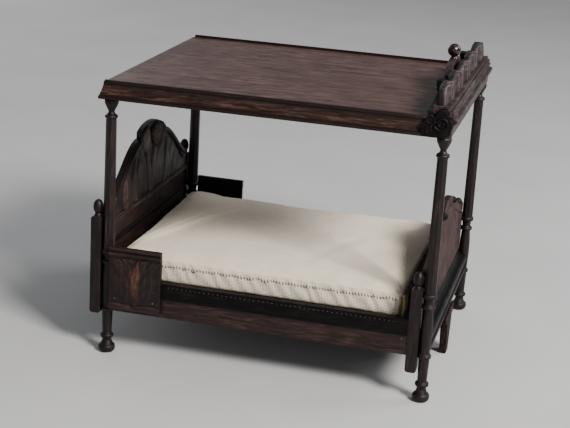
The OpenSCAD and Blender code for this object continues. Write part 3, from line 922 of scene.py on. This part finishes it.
@dataclass
class Footboard(SubAssembly):
    """The arched footboard, its scroll knobs, moulded rail and centre leg."""

    margin: float = 0.6 * MM
    groove_depth: float = 0.45 * MM
    groove_half: float = 0.8 * MM
    inset: float = 5.5 * MM
    arch_drop: float = 9 * MM
    sweep_length: float = 30 * MM
    groove_end: float = 44 * MM

    def dress(self) -> None:
        """Finish the footboard's CAD pieces."""
        dress(["footboard_panel"], OAK_ARCH_PLAIN, Grain.HEIGHT)
        dress(["footboard_knob_front", "footboard_knob_rear"], BLACK, Grain.HEIGHT)
        dress(["footboard_rail"], BLACK, Grain.WIDTH)
        dress(["foot_centre_leg"], OAK_ARCH_PLAIN, Grain.HEIGHT)

    def grooves(self, y: np.ndarray, z: np.ndarray) -> np.ndarray:
        """V grooves in the outer face: one under the top edge, two that sweep down from the arch's feet."""
        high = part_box("footboard_panel")[1]
        edge = top_edge("footboard_panel")
        top = np.array([edge(value) for value in y])
        lines = [np.abs(top - self.inset - z)]
        sweep = (high.z - self.arch_drop - z) / self.sweep_length
        lines.append(np.abs(np.abs(y) - 20 * MM + 14 * MM * ease(sweep)))
        lines.append(np.abs(np.abs(y) - 27 * MM - 22 * MM * ease(sweep)))
        cut = np.zeros(y.shape)
        below = z < high.z - self.arch_drop
        above = z > high.z - self.groove_end
        for index, line in enumerate(lines):
            depth = np.clip(1.0 - line / self.groove_half, 0.0, 1.0)
            cut = np.maximum(cut, depth if index == 0 else depth * below * above)
        return self.groove_depth * (1.0 - cut) + 0.03 * MM

    def build(self) -> None:
        """Carve the outer face above the moulded rail."""
        low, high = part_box("footboard_panel")
        rail_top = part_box("footboard_rail")[1].z
        edge = top_edge("footboard_panel")
        skin = Relief(
            "footboard_carving", Vector((high.x, 0, 0)), Y_AXIS, Z_AXIS, X_AXIS,
            (low.y + self.margin, high.y - self.margin), lambda y: rail_top,
            lambda y: edge(y) - self.margin * 0.5, self.grooves, (240, 90),
        )
        place(skin.build(), skin.name, OAK_ARCH.build(Grain.HEIGHT))


@dataclass
class SideRails(SubAssembly):
    """The two side rails, each a dark strip with a row of pins over a red board."""

    pitch: float = 2.6 * MM
    head: float = 0.24 * MM
    drop: float = 1.9 * MM

    def dress(self) -> None:
        """Finish the rails and their single pins."""
        dress([f"rail_board_{side}" for side in SIDES], OAK_RED, Grain.LENGTH)
        dress([f"rail_strip_{side}" for side in SIDES], BLACK, Grain.LENGTH)
        paint(["rail_pins"], STEEL.build())

    def build(self) -> None:
        """Drive a row of small domed pins along the top of each strip."""
        for side, sign in SIDES.items():
            low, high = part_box(f"rail_strip_{side}")
            wing_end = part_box(f"wing_panel_{side}")[1].x
            start, stop = wing_end + 4 * MM, high.x - 5 * MM
            count = int((stop - start) / self.pitch)
            outer = high.y if sign > 0 else low.y
            bm = bmesh.new()
            for index in range(count):
                wander = noise.noise(Vector((index * 0.71, sign, 3.0)))
                x = start + index * self.pitch + wander * 0.25 * MM
                at = Vector((x, outer, high.z - self.drop + wander * 0.2 * MM))
                flat = Matrix.Diagonal((1.0, 0.55, 1.0, 1.0))
                bmesh.ops.create_uvsphere(
                    bm, u_segments=8, v_segments=5, radius=self.head, matrix=Matrix.Translation(at) @ flat
                )
            place(bm, f"strip_pins_{side}", PALE_PIN.build())


@dataclass
class Wings(SubAssembly):
    """The two wings at the head end, with a carved leaf on their outer faces."""

    margin: float = 0.5 * MM
    leaf_rise: float = 1.0 * MM

    def dress(self) -> None:
        """Finish the wings; their inner faces are painted black."""
        for side, sign in SIDES.items():
            dress([f"wing_panel_{side}"], OAK_WING, Grain.HEIGHT)
            dress([f"wing_top_{side}", f"wing_bottom_{side}"], OAK_RED, Grain.LENGTH)
            for part in ("panel", "top", "bottom"):
                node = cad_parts[f"wing_{part}_{side}"]
                node.data.materials.append(BLACK.build(Grain.LENGTH))
                for face in node.data.polygons:
                    if face.normal.y * sign < -0.9:
                        face.material_index = 1
        paint(["wing_nails"], STEEL.build())

    def leaves(self, width: float, height: float) -> list[Leaf]:
        """The leaf's stem and its four pairs of side leaves.

        Args:
            width: Width of the panel.
            height: Height of the panel.

        Returns:
            Leaves in panel coordinates, with u from -0.5 to 0.5 widths and v from 0 at the bottom.
        """
        tip = (0.07 * width, 1.02 * height)
        found = [Leaf((0.0, -0.05 * height), tip, 0.9 * MM, 3.0 * MM, self.leaf_rise * 1.3)]
        for sign in (-1, 1):
            for start, end_u, end_v, fat in (
                (-0.08, 0.46, 0.30, 4.2), (0.04, 0.50, 0.62, 4.8),
                (0.22, 0.46, 0.97, 5.2), (0.42, 0.26, 1.03, 4.4),
            ):
                found.append(
                    Leaf((sign * 0.02 * width, start * height), (sign * end_u * width, end_v * height),
                         sign * 3.2 * MM, fat * MM, self.leaf_rise * (0.75 + 0.35 * end_v))
                )
        return found

    def build(self) -> None:
        """Carve a leaf on each outer face, and a ragged band under it."""
        for side, sign in SIDES.items():
            low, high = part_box(f"wing_panel_{side}")
            width, height = high.x - low.x, high.z - low.z
            leaves = self.leaves(width, height)

            def relief(u: np.ndarray, v: np.ndarray) -> np.ndarray:
                """Height of the leaves, and of the band along the bottom."""
                found = 0.18 * MM * (0.5 + 0.5 * np.cos(u * 1900 + v * 700 + 2.0 * np.sin(v * 500)))
                for leaf in leaves:
                    found = np.sqrt(found**2 + 0.8 * leaf.height(u, v) ** 2)
                sides = 1.0 - 0.65 * ease((np.abs(u) / (width / 2) - 0.55) / 0.35)
                found = found * sides * (0.55 + 0.45 * ease(v / height * 2.2))
                ragged = 0.5 + 0.5 * np.sin(u * 2100 + 1.8 * np.sin(u * 760))
                band = 0.55 * MM * ragged * np.exp(-(((v - 1.8 * MM) / (1.2 * MM)) ** 2))
                return np.maximum(found, band) + 0.03 * MM

            outer = high.y if sign > 0 else low.y
            skin = Relief(
                f"wing_carving_{side}", Vector(((low.x + high.x) / 2, outer, low.z)), X_AXIS, Z_AXIS,
                Y_AXIS * sign, (-width / 2 + self.margin, width / 2 - self.margin),
                lambda u: 0.0, lambda u: height, relief, (120, 104),
            )
            place(skin.build(), skin.name, OAK_WING.build(Grain.HEIGHT))


@dataclass
class Tester(SubAssembly):
    """The flat tester with its cornices and carved corner blocks."""

    def dress(self) -> None:
        """Finish the tester's CAD pieces."""
        dress(["tester_board"], OAK_TOP, Grain.LENGTH)
        low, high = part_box("cornice_front")
        faced = replace(OAK_MOULDED, band=(low.z + 2.0 * MM, high.z - 3.0 * MM))
        dress(["cornice_front", "cornice_rear"], faced, Grain.LENGTH)
        dress(["cornice_foot"], OAK_FOOT, Grain.WIDTH)
        dress(["corner_block_front", "corner_block_rear"], BLACK, Grain.HEIGHT)

    def spiral(self, centre: Vector, outer: float, turns: float, turn_from: float, sign: float) -> TubePath:
        """Points and radii of a scroll that winds in to its eye.

        Args:
            centre: The scroll's eye.
            outer: Its outermost radius.
            turns: How many turns it makes.
            turn_from: Angle at which it starts, in degrees.
            sign: 1 or -1, the way it winds.

        Returns:
            Each point with the tube's radius there.
        """
        steps = int(turns * 20)
        found = []
        for index in range(steps + 1):
            share = index / steps
            reach = outer * (1.0 - 0.82 * share)
            angle = math.radians(turn_from) + sign * share * turns * 2 * math.pi
            point = centre + Vector((math.cos(angle) * reach, 0, math.sin(angle) * reach))
            found.append((point, outer * (0.22 - 0.10 * share)))
        return found

    def build(self) -> None:
        """Carve two scrolls and an eye on each corner block's outer face."""
        for side, sign in SIDES.items():
            low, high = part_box(f"corner_block_{side}")
            outer = high.y if sign > 0 else low.y
            scrolls = [
                (Vector((high.x - 5.6 * MM, outer, low.z + 7.4 * MM)), 4.0 * MM, 1.6, 200.0, 1.0),
                (Vector((low.x + 4.6 * MM, outer, low.z + 9.6 * MM)), 2.9 * MM, 1.4, -20.0, -1.0),
                (Vector((low.x + 4.2 * MM, outer, low.z + 3.4 * MM)), 2.4 * MM, 1.2, 60.0, 1.0),
            ]
            for index, (centre, reach, turns, start, way) in enumerate(scrolls):
                path = self.spiral(centre, reach, turns, start, way)
                bm = tube(path, 8)
                place(bm, f"corner_scroll_{side}_{index + 1}", BLACK.build(Grain.HEIGHT))


@dataclass
class Crest(SubAssembly):
    """The crest on the foot cornice: leaves, back board, knobs, plinth and ball."""

    leaf_count: int = 5
    bow: float = 2.4 * MM
    groove: float = 2.2 * MM

    def dress(self) -> None:
        """Finish the crest's CAD pieces."""
        dress(["crest_base"], OAK_FOOT, Grain.WIDTH)
        dress(["crest_knob_front", "crest_knob_rear"], BLACK, Grain.HEIGHT)
        dress(["crest_back"], OAK_DARK, Grain.WIDTH)
        dress(["crest_plinth"], OAK_FOOT, Grain.HEIGHT)
        dress(["crest_ball"], POLISHED, Grain.HEIGHT)

    def build(self) -> None:
        """Carve each leaf as a bowed, grooved tongue that stands for its CAD node."""
        for index in range(1, self.leaf_count + 1):
            node = f"crest_leaf_{index}"
            low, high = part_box(node)
            half = (high.y - low.y) / 2
            tall = high.z - low.z
            thick = high.x - low.x - self.bow

            def top(u: float) -> float:
                """Upper outline of the leaf."""
                share = min(abs(u) / half, 1.0)
                return tall * (0.30 + 0.70 * (1.0 - share**3.3) ** 0.3)

            def face(u: np.ndarray, v: np.ndarray) -> np.ndarray:
                """Bowed face with a V down its middle and a soft lobe on each side."""
                share = np.abs(u) / half
                bow = self.bow * np.sqrt(np.clip(1.05 - share**2, 0.05, 1.0))
                lean = 1.0 - 0.45 * (v / tall) ** 2
                middle = self.groove * np.clip(1.0 - share / 0.26, 0.0, 1.0)
                lobe = 0.5 * MM * np.cos(share * 9.0) * (share > 0.3)
                return thick + bow * lean - middle - lobe

            skin = Relief(
                f"carved_leaf_{index}", Vector((low.x, (low.y + high.y) / 2, low.z)), Y_AXIS, Z_AXIS, X_AXIS,
                (-half, half), lambda u: 0.0, top, face, (64, 22), 0.0,
            )
            bm = skin.build()
            bmesh.ops.holes_fill(bm, edges=[edge for edge in bm.edges if edge.is_boundary])
            piece = place(bm, skin.name, OAK_CREST.build(Grain.HEIGHT))
            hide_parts(node)


@dataclass(frozen=True)
class Crease:
    """A soft fold across the cover: a valley with a ridge on its foot side.

    Attributes:
        start: X and Y of one end, in metres.
        end: X and Y of the other end.
        bend: How far its middle swings towards the head.
        valley: Depth of the valley.
        ridge: Height of the ridge beside it.
        width: Width of each.
    """

    start: tuple[float, float]
    end: tuple[float, float]
    bend: float
    valley: float
    ridge: float
    width: float

    def depth_at(self, point: Vector) -> float:
        """Rise or fall of the cover at a point."""
        start, end = Vector(self.start), Vector(self.end)
        along = end - start
        share = (Vector((point.x, point.y)) - start).dot(along) / along.length_squared
        across = Vector((along.y, -along.x)).normalized()
        swing = self.bend * (1.0 - (2.0 * share - 1.0) ** 2)
        offset = (Vector((point.x, point.y)) - start).dot(across) + swing
        fade = ease(share / 0.25) * ease((1.0 - share) / 0.25)
        valley = self.valley * math.exp(-((offset / self.width) ** 2))
        ridge = self.ridge * math.exp(-(((offset - 1.7 * self.width) / (1.3 * self.width)) ** 2))
        return fade * (ridge - valley)


@dataclass
class Mattress(SubAssembly):
    """The loose canvas mattress: blown up by a cloth simulation, then puckered, stitched and frayed.

    Attributes:
        node: The CAD solid that it stands for.
        enlarge: How many times larger it is while it is simulated.
        voxel: Size of a cell, in metres.
        pressure: Pressure inside it.
        frames: Frames that the simulation runs for.
        tension: Stiffness of the cloth when it is pulled.
        bending: Stiffness of the cloth when it is bent.
        start_inset: How much smaller than its space it starts.
        corner: Radius of its upright corners.
        swell: The furthest that the simulation may move a point.
        slack: How far fabric may bulge past its space.
        stitch_pitch: Spacing of the stitches.
        creases: Folds in the cover.
    """

    node: str = "mattress"
    enlarge: float = 4.0
    voxel: float = 2.0 * MM
    pressure: float = 4.0
    frames: int = 20
    tension: float = 12.0
    bending: float = 0.4
    start_inset: float = 1.2 * MM
    corner: float = 4.5 * MM
    swell: float = 2.6 * MM
    slack: float = 0.6 * MM
    stitch_pitch: float = 1.7 * MM
    creases: tuple[Crease, ...] = (
        Crease((-0.087, -0.057), (-0.037, 0.058), 3.0 * MM, 2.2 * MM, 1.7 * MM, 2.3 * MM),
        Crease((-0.078, 0.006), (-0.032, 0.054), 1.0 * MM, 1.4 * MM, 1.1 * MM, 1.9 * MM),
        Crease((0.012, -0.058), (0.044, 0.020), 2.0 * MM, 0.45 * MM, 0.4 * MM, 5.0 * MM),
        Crease((0.040, -0.010), (0.074, -0.052), 1.5 * MM, 0.6 * MM, 0.5 * MM, 4.0 * MM),
    )
    low: Vector = field(init=False)
    high: Vector = field(init=False)

    def __post_init__(self) -> None:
        """Read the space that the CAD solid holds."""
        self.low, self.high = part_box(self.node)

    def dress(self) -> None:
        """Finish the board that the mattress lies on."""
        dress(["base_board"], OAK_RED, Grain.LENGTH)

    def slab(self) -> bpy.types.Object:
        """The pad before it is blown up: a rounded slab a little smaller than its space."""
        inset = Vector((self.start_inset,) * 3)
        size = self.high - self.low - 2 * inset
        bm = bmesh.new()
        centre = (self.low + self.high) / 2
        bmesh.ops.create_cube(bm, size=1.0, matrix=Matrix.Translation(centre) @ Matrix.Diagonal((*size, 1.0)))
        upright = [e for e in bm.edges if abs(e.verts[0].co.z - e.verts[1].co.z) > size.z / 2]
        bmesh.ops.bevel(bm, geom=upright, offset=self.corner, offset_type="OFFSET", segments=5, profile=0.5,
                        affect="EDGES", material=-1)
        level = [e for e in bm.edges if abs(e.verts[0].co.z - e.verts[1].co.z) < 1e-7]
        bmesh.ops.bevel(bm, geom=level, offset=1.8 * MM, offset_type="OFFSET", segments=3, profile=0.5,
                        affect="EDGES", material=-1)
        bmesh.ops.transform(bm, matrix=Matrix.Scale(self.enlarge, 4), verts=bm.verts)
        mesh = bpy.data.meshes.new("mattress_slab")
        bm.to_mesh(mesh)
        bm.free()
        return add_object("mattress_slab", mesh)

    def applied(self, pad: bpy.types.Object) -> bpy.types.Mesh:
        """A copy of a piece's mesh with its modifiers applied."""
        bpy.context.view_layer.update()
        graph = bpy.context.evaluated_depsgraph_get()
        return bpy.data.meshes.new_from_object(pad.evaluated_get(graph))

    def blown(self) -> bpy.types.Mesh:
        """Remesh the slab, blow it up as cloth, and cap how far each point moves.

        Returns:
            The mesh at its real size.
        """
        pad = self.slab()
        remesh = pad.modifiers.new("even_cells", "REMESH")
        remesh.mode = "VOXEL"
        remesh.voxel_size = self.voxel * self.enlarge
        pad.data = self.applied(pad)
        pad.modifiers.clear()
        rest = np.array([v.co for v in pad.data.vertices])
        cloth = pad.modifiers.new("blow_up", "CLOTH")
        cloth.settings.quality = 6
        cloth.settings.use_pressure = True
        cloth.settings.uniform_pressure_force = self.pressure
        cloth.settings.effector_weights.gravity = 0.0
        cloth.settings.tension_stiffness = self.tension
        cloth.settings.bending_stiffness = self.bending
        cloth.point_cache.frame_start, cloth.point_cache.frame_end = 1, self.frames
        scene = bpy.context.scene
        for step in range(1, self.frames + 1):
            scene.frame_set(step)
        mesh = self.applied(pad)
        scene.frame_set(1)
        moved = np.array([v.co for v in mesh.vertices])
        shift = moved - rest
        length = np.linalg.norm(shift, axis=1, keepdims=True)
        cap = self.swell * self.enlarge
        limited = rest + shift * np.minimum(1.0, cap / np.maximum(length, 1e-9))
        mesh.vertices.foreach_set("co", (limited / self.enlarge).astype(np.float32).ravel())
        bpy.data.objects.remove(pad)
        return mesh

    def shape(self, bm: BMesh) -> None:
        """Crown the top, lay the underside flat, and pull puckers and creases into the cover.

        Args:
            bm: The mattress, changed in place.
        """
        middle = (self.low + self.high) / 2
        half = (self.high - self.low) / 2
        soil = bm.verts.layers.float.new("soil")
        for vert in bm.verts:
            p = vert.co
            du = (p.x - middle.x) / half.x
            dv = (p.y - middle.y) / half.y
            is_top = ease((p.z - middle.z) / (half.z * 0.6))
            crown = (1 - abs(du) ** 4) * (1 - abs(dv) ** 3)
            lumps = noise.noise(Vector((p.x * 30, p.y * 30, 1.0))) * 0.9 + noise.noise(p * 75) * 0.35
            lumps += noise.noise(p * 210) * 0.12
            p.z += is_top * (crown * 1.6 + lumps) * MM
            for crease in self.creases:
                p.z += is_top * crease.depth_at(p)
            p.z += is_top * 1.4 * MM * ease((-du - 0.55) / 0.4) * ease((dv - 0.2) / 0.5)
            side = ease((abs(dv) - 0.92) / 0.06)
            lift = ease((p.z - self.low.z) / (9 * MM))
            pucker = math.sin(p.x * 820 + p.z * 560 + 4.0 * noise.noise(Vector((p.x * 110, 0.0, 2.0))))
            pucker *= 0.45 + 0.9 * abs(noise.noise(Vector((p.x * 60, 7.0, p.z * 40))))
            p.y -= math.copysign(1.0, dv) * side * (0.6 + 0.8 * pucker) * (0.6 + 0.7 * lift) * MM
            end = ease((abs(du) - 0.95) / 0.05)
            p.x -= math.copysign(1.0, du) * end * (0.5 + 0.5 * math.sin(p.y * 700 + p.z * 480)) * 0.8 * MM
            edge_ripple = noise.noise(Vector((p.x * 260, p.y * 260, 4.0)))
            p.z += max(side, end) * is_top * edge_ripple * 0.7 * MM
            p.z = max(p.z, self.low.z)
            p.x = min(max(p.x, self.low.x), self.high.x + self.slack)
            p.y = min(max(p.y, self.low.y - self.slack), self.high.y + self.slack)
            # Darker along the sides and ends and in a band along the top seam; where the side puckers fold
            # in, the darkening is painted shade.
            seam = math.exp(-(((p.z - self.high.z + 2.2 * MM) / (1.4 * MM)) ** 2)) * max(side, end)
            dirt_and_shade = max(side * (0.16 + 0.34 * max(pucker, 0.0)), end * 0.3) + 0.6 * seam
            vert[soil] = float(min(0.85, dirt_and_shade))

    def unwrap(self, bm: BMesh) -> None:
        """Lay a UV map in metres on every face, from the side that it faces."""
        layer = bm.loops.layers.uv.new("weave")
        for face in bm.faces:
            n = face.normal
            for loop in face.loops:
                p = loop.vert.co
                if abs(n.z) >= max(abs(n.x), abs(n.y)):
                    loop[layer].uv = (p.x, p.y)
                elif abs(n.y) >= abs(n.x):
                    loop[layer].uv = (p.x, p.z - math.copysign(1.0, n.y) * self.high.y)
                else:
                    loop[layer].uv = (p.z, p.y)

    def rim(self, mesh: bpy.types.Mesh, tilt: float, step: float) -> list[tuple[Vector, Vector]]:
        """Points round the mattress's upper edge, with the surface's normal at each.

        Args:
            mesh: The finished mattress.
            tilt: Angle above level from which the edge is felt for, in degrees.
            step: Spacing of the points.

        Returns:
            Points and normals, anticlockwise from the head's front corner.
        """
        bm = bmesh.new()
        bm.from_mesh(mesh)
        tree = BVHTree.FromBMesh(bm)
        bm.free()
        inset = self.corner + 0.5 * MM
        x0, x1 = self.low.x + inset, self.high.x - inset
        y0, y1 = self.low.y + inset, self.high.y - inset
        runs = [
            (Vector((x0, y0, 0)), Vector((x1, y0, 0)), Vector((0, -1, 0))),
            (Vector((x1, y0, 0)), Vector((x1, y1, 0)), Vector((1, 0, 0))),
            (Vector((x1, y1, 0)), Vector((x0, y1, 0)), Vector((0, 1, 0))),
            (Vector((x0, y1, 0)), Vector((x0, y0, 0)), Vector((-1, 0, 0))),
        ]
        found = []
        rise = math.radians(tilt)
        for start, stop, outward in runs:
            count = int((stop - start).length / step)
            for index in range(count):
                foot = start.lerp(stop, index / count)
                foot.z = self.high.z - 5.5 * MM
                towards = outward * math.cos(rise) + Vector((0, 0, math.sin(rise)))
                hit, normal, _, _ = tree.ray_cast(foot + towards * 0.03, -towards, 0.06)
                if hit is not None:
                    found.append((hit, normal))
        return found

    def stitches(self, mesh: bpy.types.Mesh) -> None:
        """Overcast stitches along the upper edge, uneven in length and slant."""
        bm = bmesh.new()
        points = self.rim(mesh, 40.0, self.stitch_pitch)
        for index, (point, normal) in enumerate(points):
            after = points[(index + 1) % len(points)][0]
            along = (after - point).normalized()
            if (after - point).length > 4 * self.stitch_pitch:
                continue
            wander = noise.noise(Vector((index * 0.37, 5.0, 0.0)))
            down = along.cross(normal).normalized()
            half = (1.05 + 0.9 * wander) * MM
            slant = along * (0.9 + 0.8 * wander) * MM
            middle = point + down * wander * 1.2 * MM
            path = [
                (middle - slant * 0.5 - down * half - normal * 0.12 * MM, 0.10 * MM),
                (middle + normal * 0.18 * MM, 0.30 * MM),
                (middle + slant * 0.5 + down * half - normal * 0.12 * MM, 0.10 * MM),
            ]
            add_tube(bm, path, 5)
        place(bm, "mattress_stitches", SEAM_THREAD.build(), "mattress")

    def frays(self, mesh: bpy.types.Mesh) -> None:
        """Loose fibres that stand off the seam."""
        bm = bmesh.new()
        for index, (point, normal) in enumerate(self.rim(mesh, 46.0, 0.9 * MM)):
            turn = noise.noise_vector(Vector((index * 0.53, 1.0, 9.0)))
            if turn.z < -0.1:
                continue
            reach = (0.7 + 1.1 * abs(turn.x)) * MM
            side = Vector((turn.y, turn.x, turn.z * 0.3)).normalized()
            path = [
                (point - normal * 0.1 * MM, 0.06 * MM),
                (point + normal * reach * 0.35 + side * reach * 0.4, 0.05 * MM),
                (point + normal * reach * 0.45 + side * reach, 0.03 * MM),
            ]
            add_tube(bm, path, 4)
        place(bm, "mattress_frays", FRAY.build(), "mattress")

    def binding(self) -> None:
        """The rust and mustard binding rolled round the front corner at the foot."""
        corner = Vector((self.high.x - 1.8 * MM, self.low.y + 1.2 * MM, 0))
        for name, finish, shift, radius in (
            ("corner_binding_rust", RUST, Vector((-1.7 * MM, -0.55 * MM, 0)), 0.62 * MM),
            ("corner_binding_mustard", MUSTARD, Vector((0.0, 0.0, 0)), 0.95 * MM),
            ("corner_binding_inner", RUST, Vector((1.0 * MM, 1.6 * MM, 0)), 0.8 * MM),
        ):
            path = []
            for index in range(9):
                share = index / 8
                sway = 0.35 * MM * math.sin(share * 7 + radius * 4000)
                z = self.low.z + 1.5 * MM + (self.high.z - self.low.z - 1.8 * MM) * share
                thick = radius * (0.75 + 0.3 * math.sin(math.pi * share))
                path.append((corner + shift + Vector((sway, sway * 0.6, z)), thick))
            piece = place(tube(path, 12), name, finish.build(), "mattress")
            smooth = piece.modifiers.new("round", "SUBSURF")
            smooth.levels = smooth.render_levels = 1

    def build(self) -> None:
        """Make the mattress and everything sewn to it."""
        mesh = self.blown()
        bm = bmesh.new()
        bm.from_mesh(mesh)
        bpy.data.meshes.remove(mesh)
        bmesh.ops.subdivide_edges(bm, edges=bm.edges, cuts=1, use_grid_fill=True, smooth=0.0)
        bmesh.ops.smooth_vert(
            bm, verts=bm.verts, factor=0.5, use_axis_x=True, use_axis_y=True, use_axis_z=True
        )
        self.shape(bm)
        bm.normal_update()
        self.unwrap(bm)
        piece = place(bm, "canvas_mattress", CANVAS.build(), "mattress")
        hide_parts(self.node)
        self.stitches(piece.data)
        self.frays(piece.data)
        self.binding()


@dataclass
class Studio:
    """A pale floor, soft lights and the camera."""

    azimuth: float = 13.64
    elevation: float = 17.21
    roll: float = 3.42
    distance: float = 0.8308
    target: tuple[float, float, float] = (-0.0063, -0.0032, 0.0725)
    lens: float = 88.6

    def floor(self) -> None:
        """A wide pale floor under the feet."""
        g = Graph("pale_floor")
        clouds = g.noise(g.object_space([9.0] * 3), 3.0)
        g.set_shader(colour=g.mix(g.span(clouds, 0.3, 0.7), (0.46,) * 3, (0.50,) * 3), roughness=0.75)
        bm = bmesh.new()
        bmesh.ops.create_grid(bm, x_segments=4, y_segments=4, size=6.0)
        mesh = bpy.data.meshes.new("floor")
        bm.to_mesh(mesh)
        bm.free()
        mesh.materials.append(g.material)
        add_object("floor", mesh)

    def lamp(
        self, name: str, at: tuple[float, float, float], size: float, watts: float, colour: Colour
    ) -> None:
        """A square soft light that faces the bed.

        Args:
            name: Name of the light.
            at: Its place, in metres.
            size: Its side.
            watts: Its power.
            colour: Its tint.
        """
        data = bpy.data.lights.new(name, "AREA")
        data.size, data.energy, data.color = size, watts, colour
        light = add_object(name, data)
        light.location = at
        light.rotation_euler = (Vector((0, 0, 0.08)) - Vector(at)).to_track_quat("-Z", "Y").to_euler()

    def lights(self) -> None:
        """Key from the front right that reaches under the tester, weaker lights and a pale surround."""
        self.lamp("key", (1.0, -0.80, 1.05), 0.4, 46.0, (1.0, 0.97, 0.93))
        self.lamp("front", (0.1, -1.3, 0.5), 0.7, 1.5, (1.0, 0.98, 0.95))
        self.lamp("side", (1.05, 0.60, 0.85), 0.6, 8.0, (0.97, 0.98, 1.0))
        self.lamp("back", (-1.0, 1.1, 0.55), 0.8, 3.5, (0.97, 0.98, 1.0))
        self.lamp("top", (0.3, 0.0, 1.4), 0.9, 2.0, (0.97, 0.98, 1.0))
        world = bpy.data.worlds.new("surround")
        world.use_nodes = True
        back = world.node_tree.nodes["Background"]
        back.inputs["Color"].default_value = (0.85, 0.87, 0.9, 1.0)
        back.inputs["Strength"].default_value = 0.27
        bpy.context.scene.world = world

    def camera(self) -> None:
        """The camera at the viewing angle, with a slight roll."""
        a, e = math.radians(self.azimuth), math.radians(self.elevation)
        back = Vector((math.sin(a) * math.cos(e), -math.cos(a) * math.cos(e), math.sin(e)))
        data = bpy.data.cameras.new("camera")
        data.lens = self.lens
        data.sensor_width = 36.0
        data.clip_start, data.clip_end = 0.01, 50.0
        eye = add_object("camera", data)
        eye.location = Vector(self.target) + back * self.distance
        facing = (-back).to_track_quat("-Z", "Y")
        eye.rotation_mode = "QUATERNION"
        eye.rotation_quaternion = facing @ Euler((0, 0, math.radians(self.roll))).to_quaternion()
        bpy.context.scene.camera = eye

    def build(self) -> None:
        """Set up the whole studio."""
        self.floor()
        self.lights()
        self.camera()


def main() -> None:
    """Build the studio, then each sub-assembly in turn."""
    logging.basicConfig(level=logging.INFO, format="%(name)s %(message)s")
    Studio().build()
    for part in (Posts(), Headboard(), Footboard(), SideRails(), Wings(), Tester(), Crest(), Mattress()):
        part.dress()
        part.build()


if __name__ == "__main__":
    main()
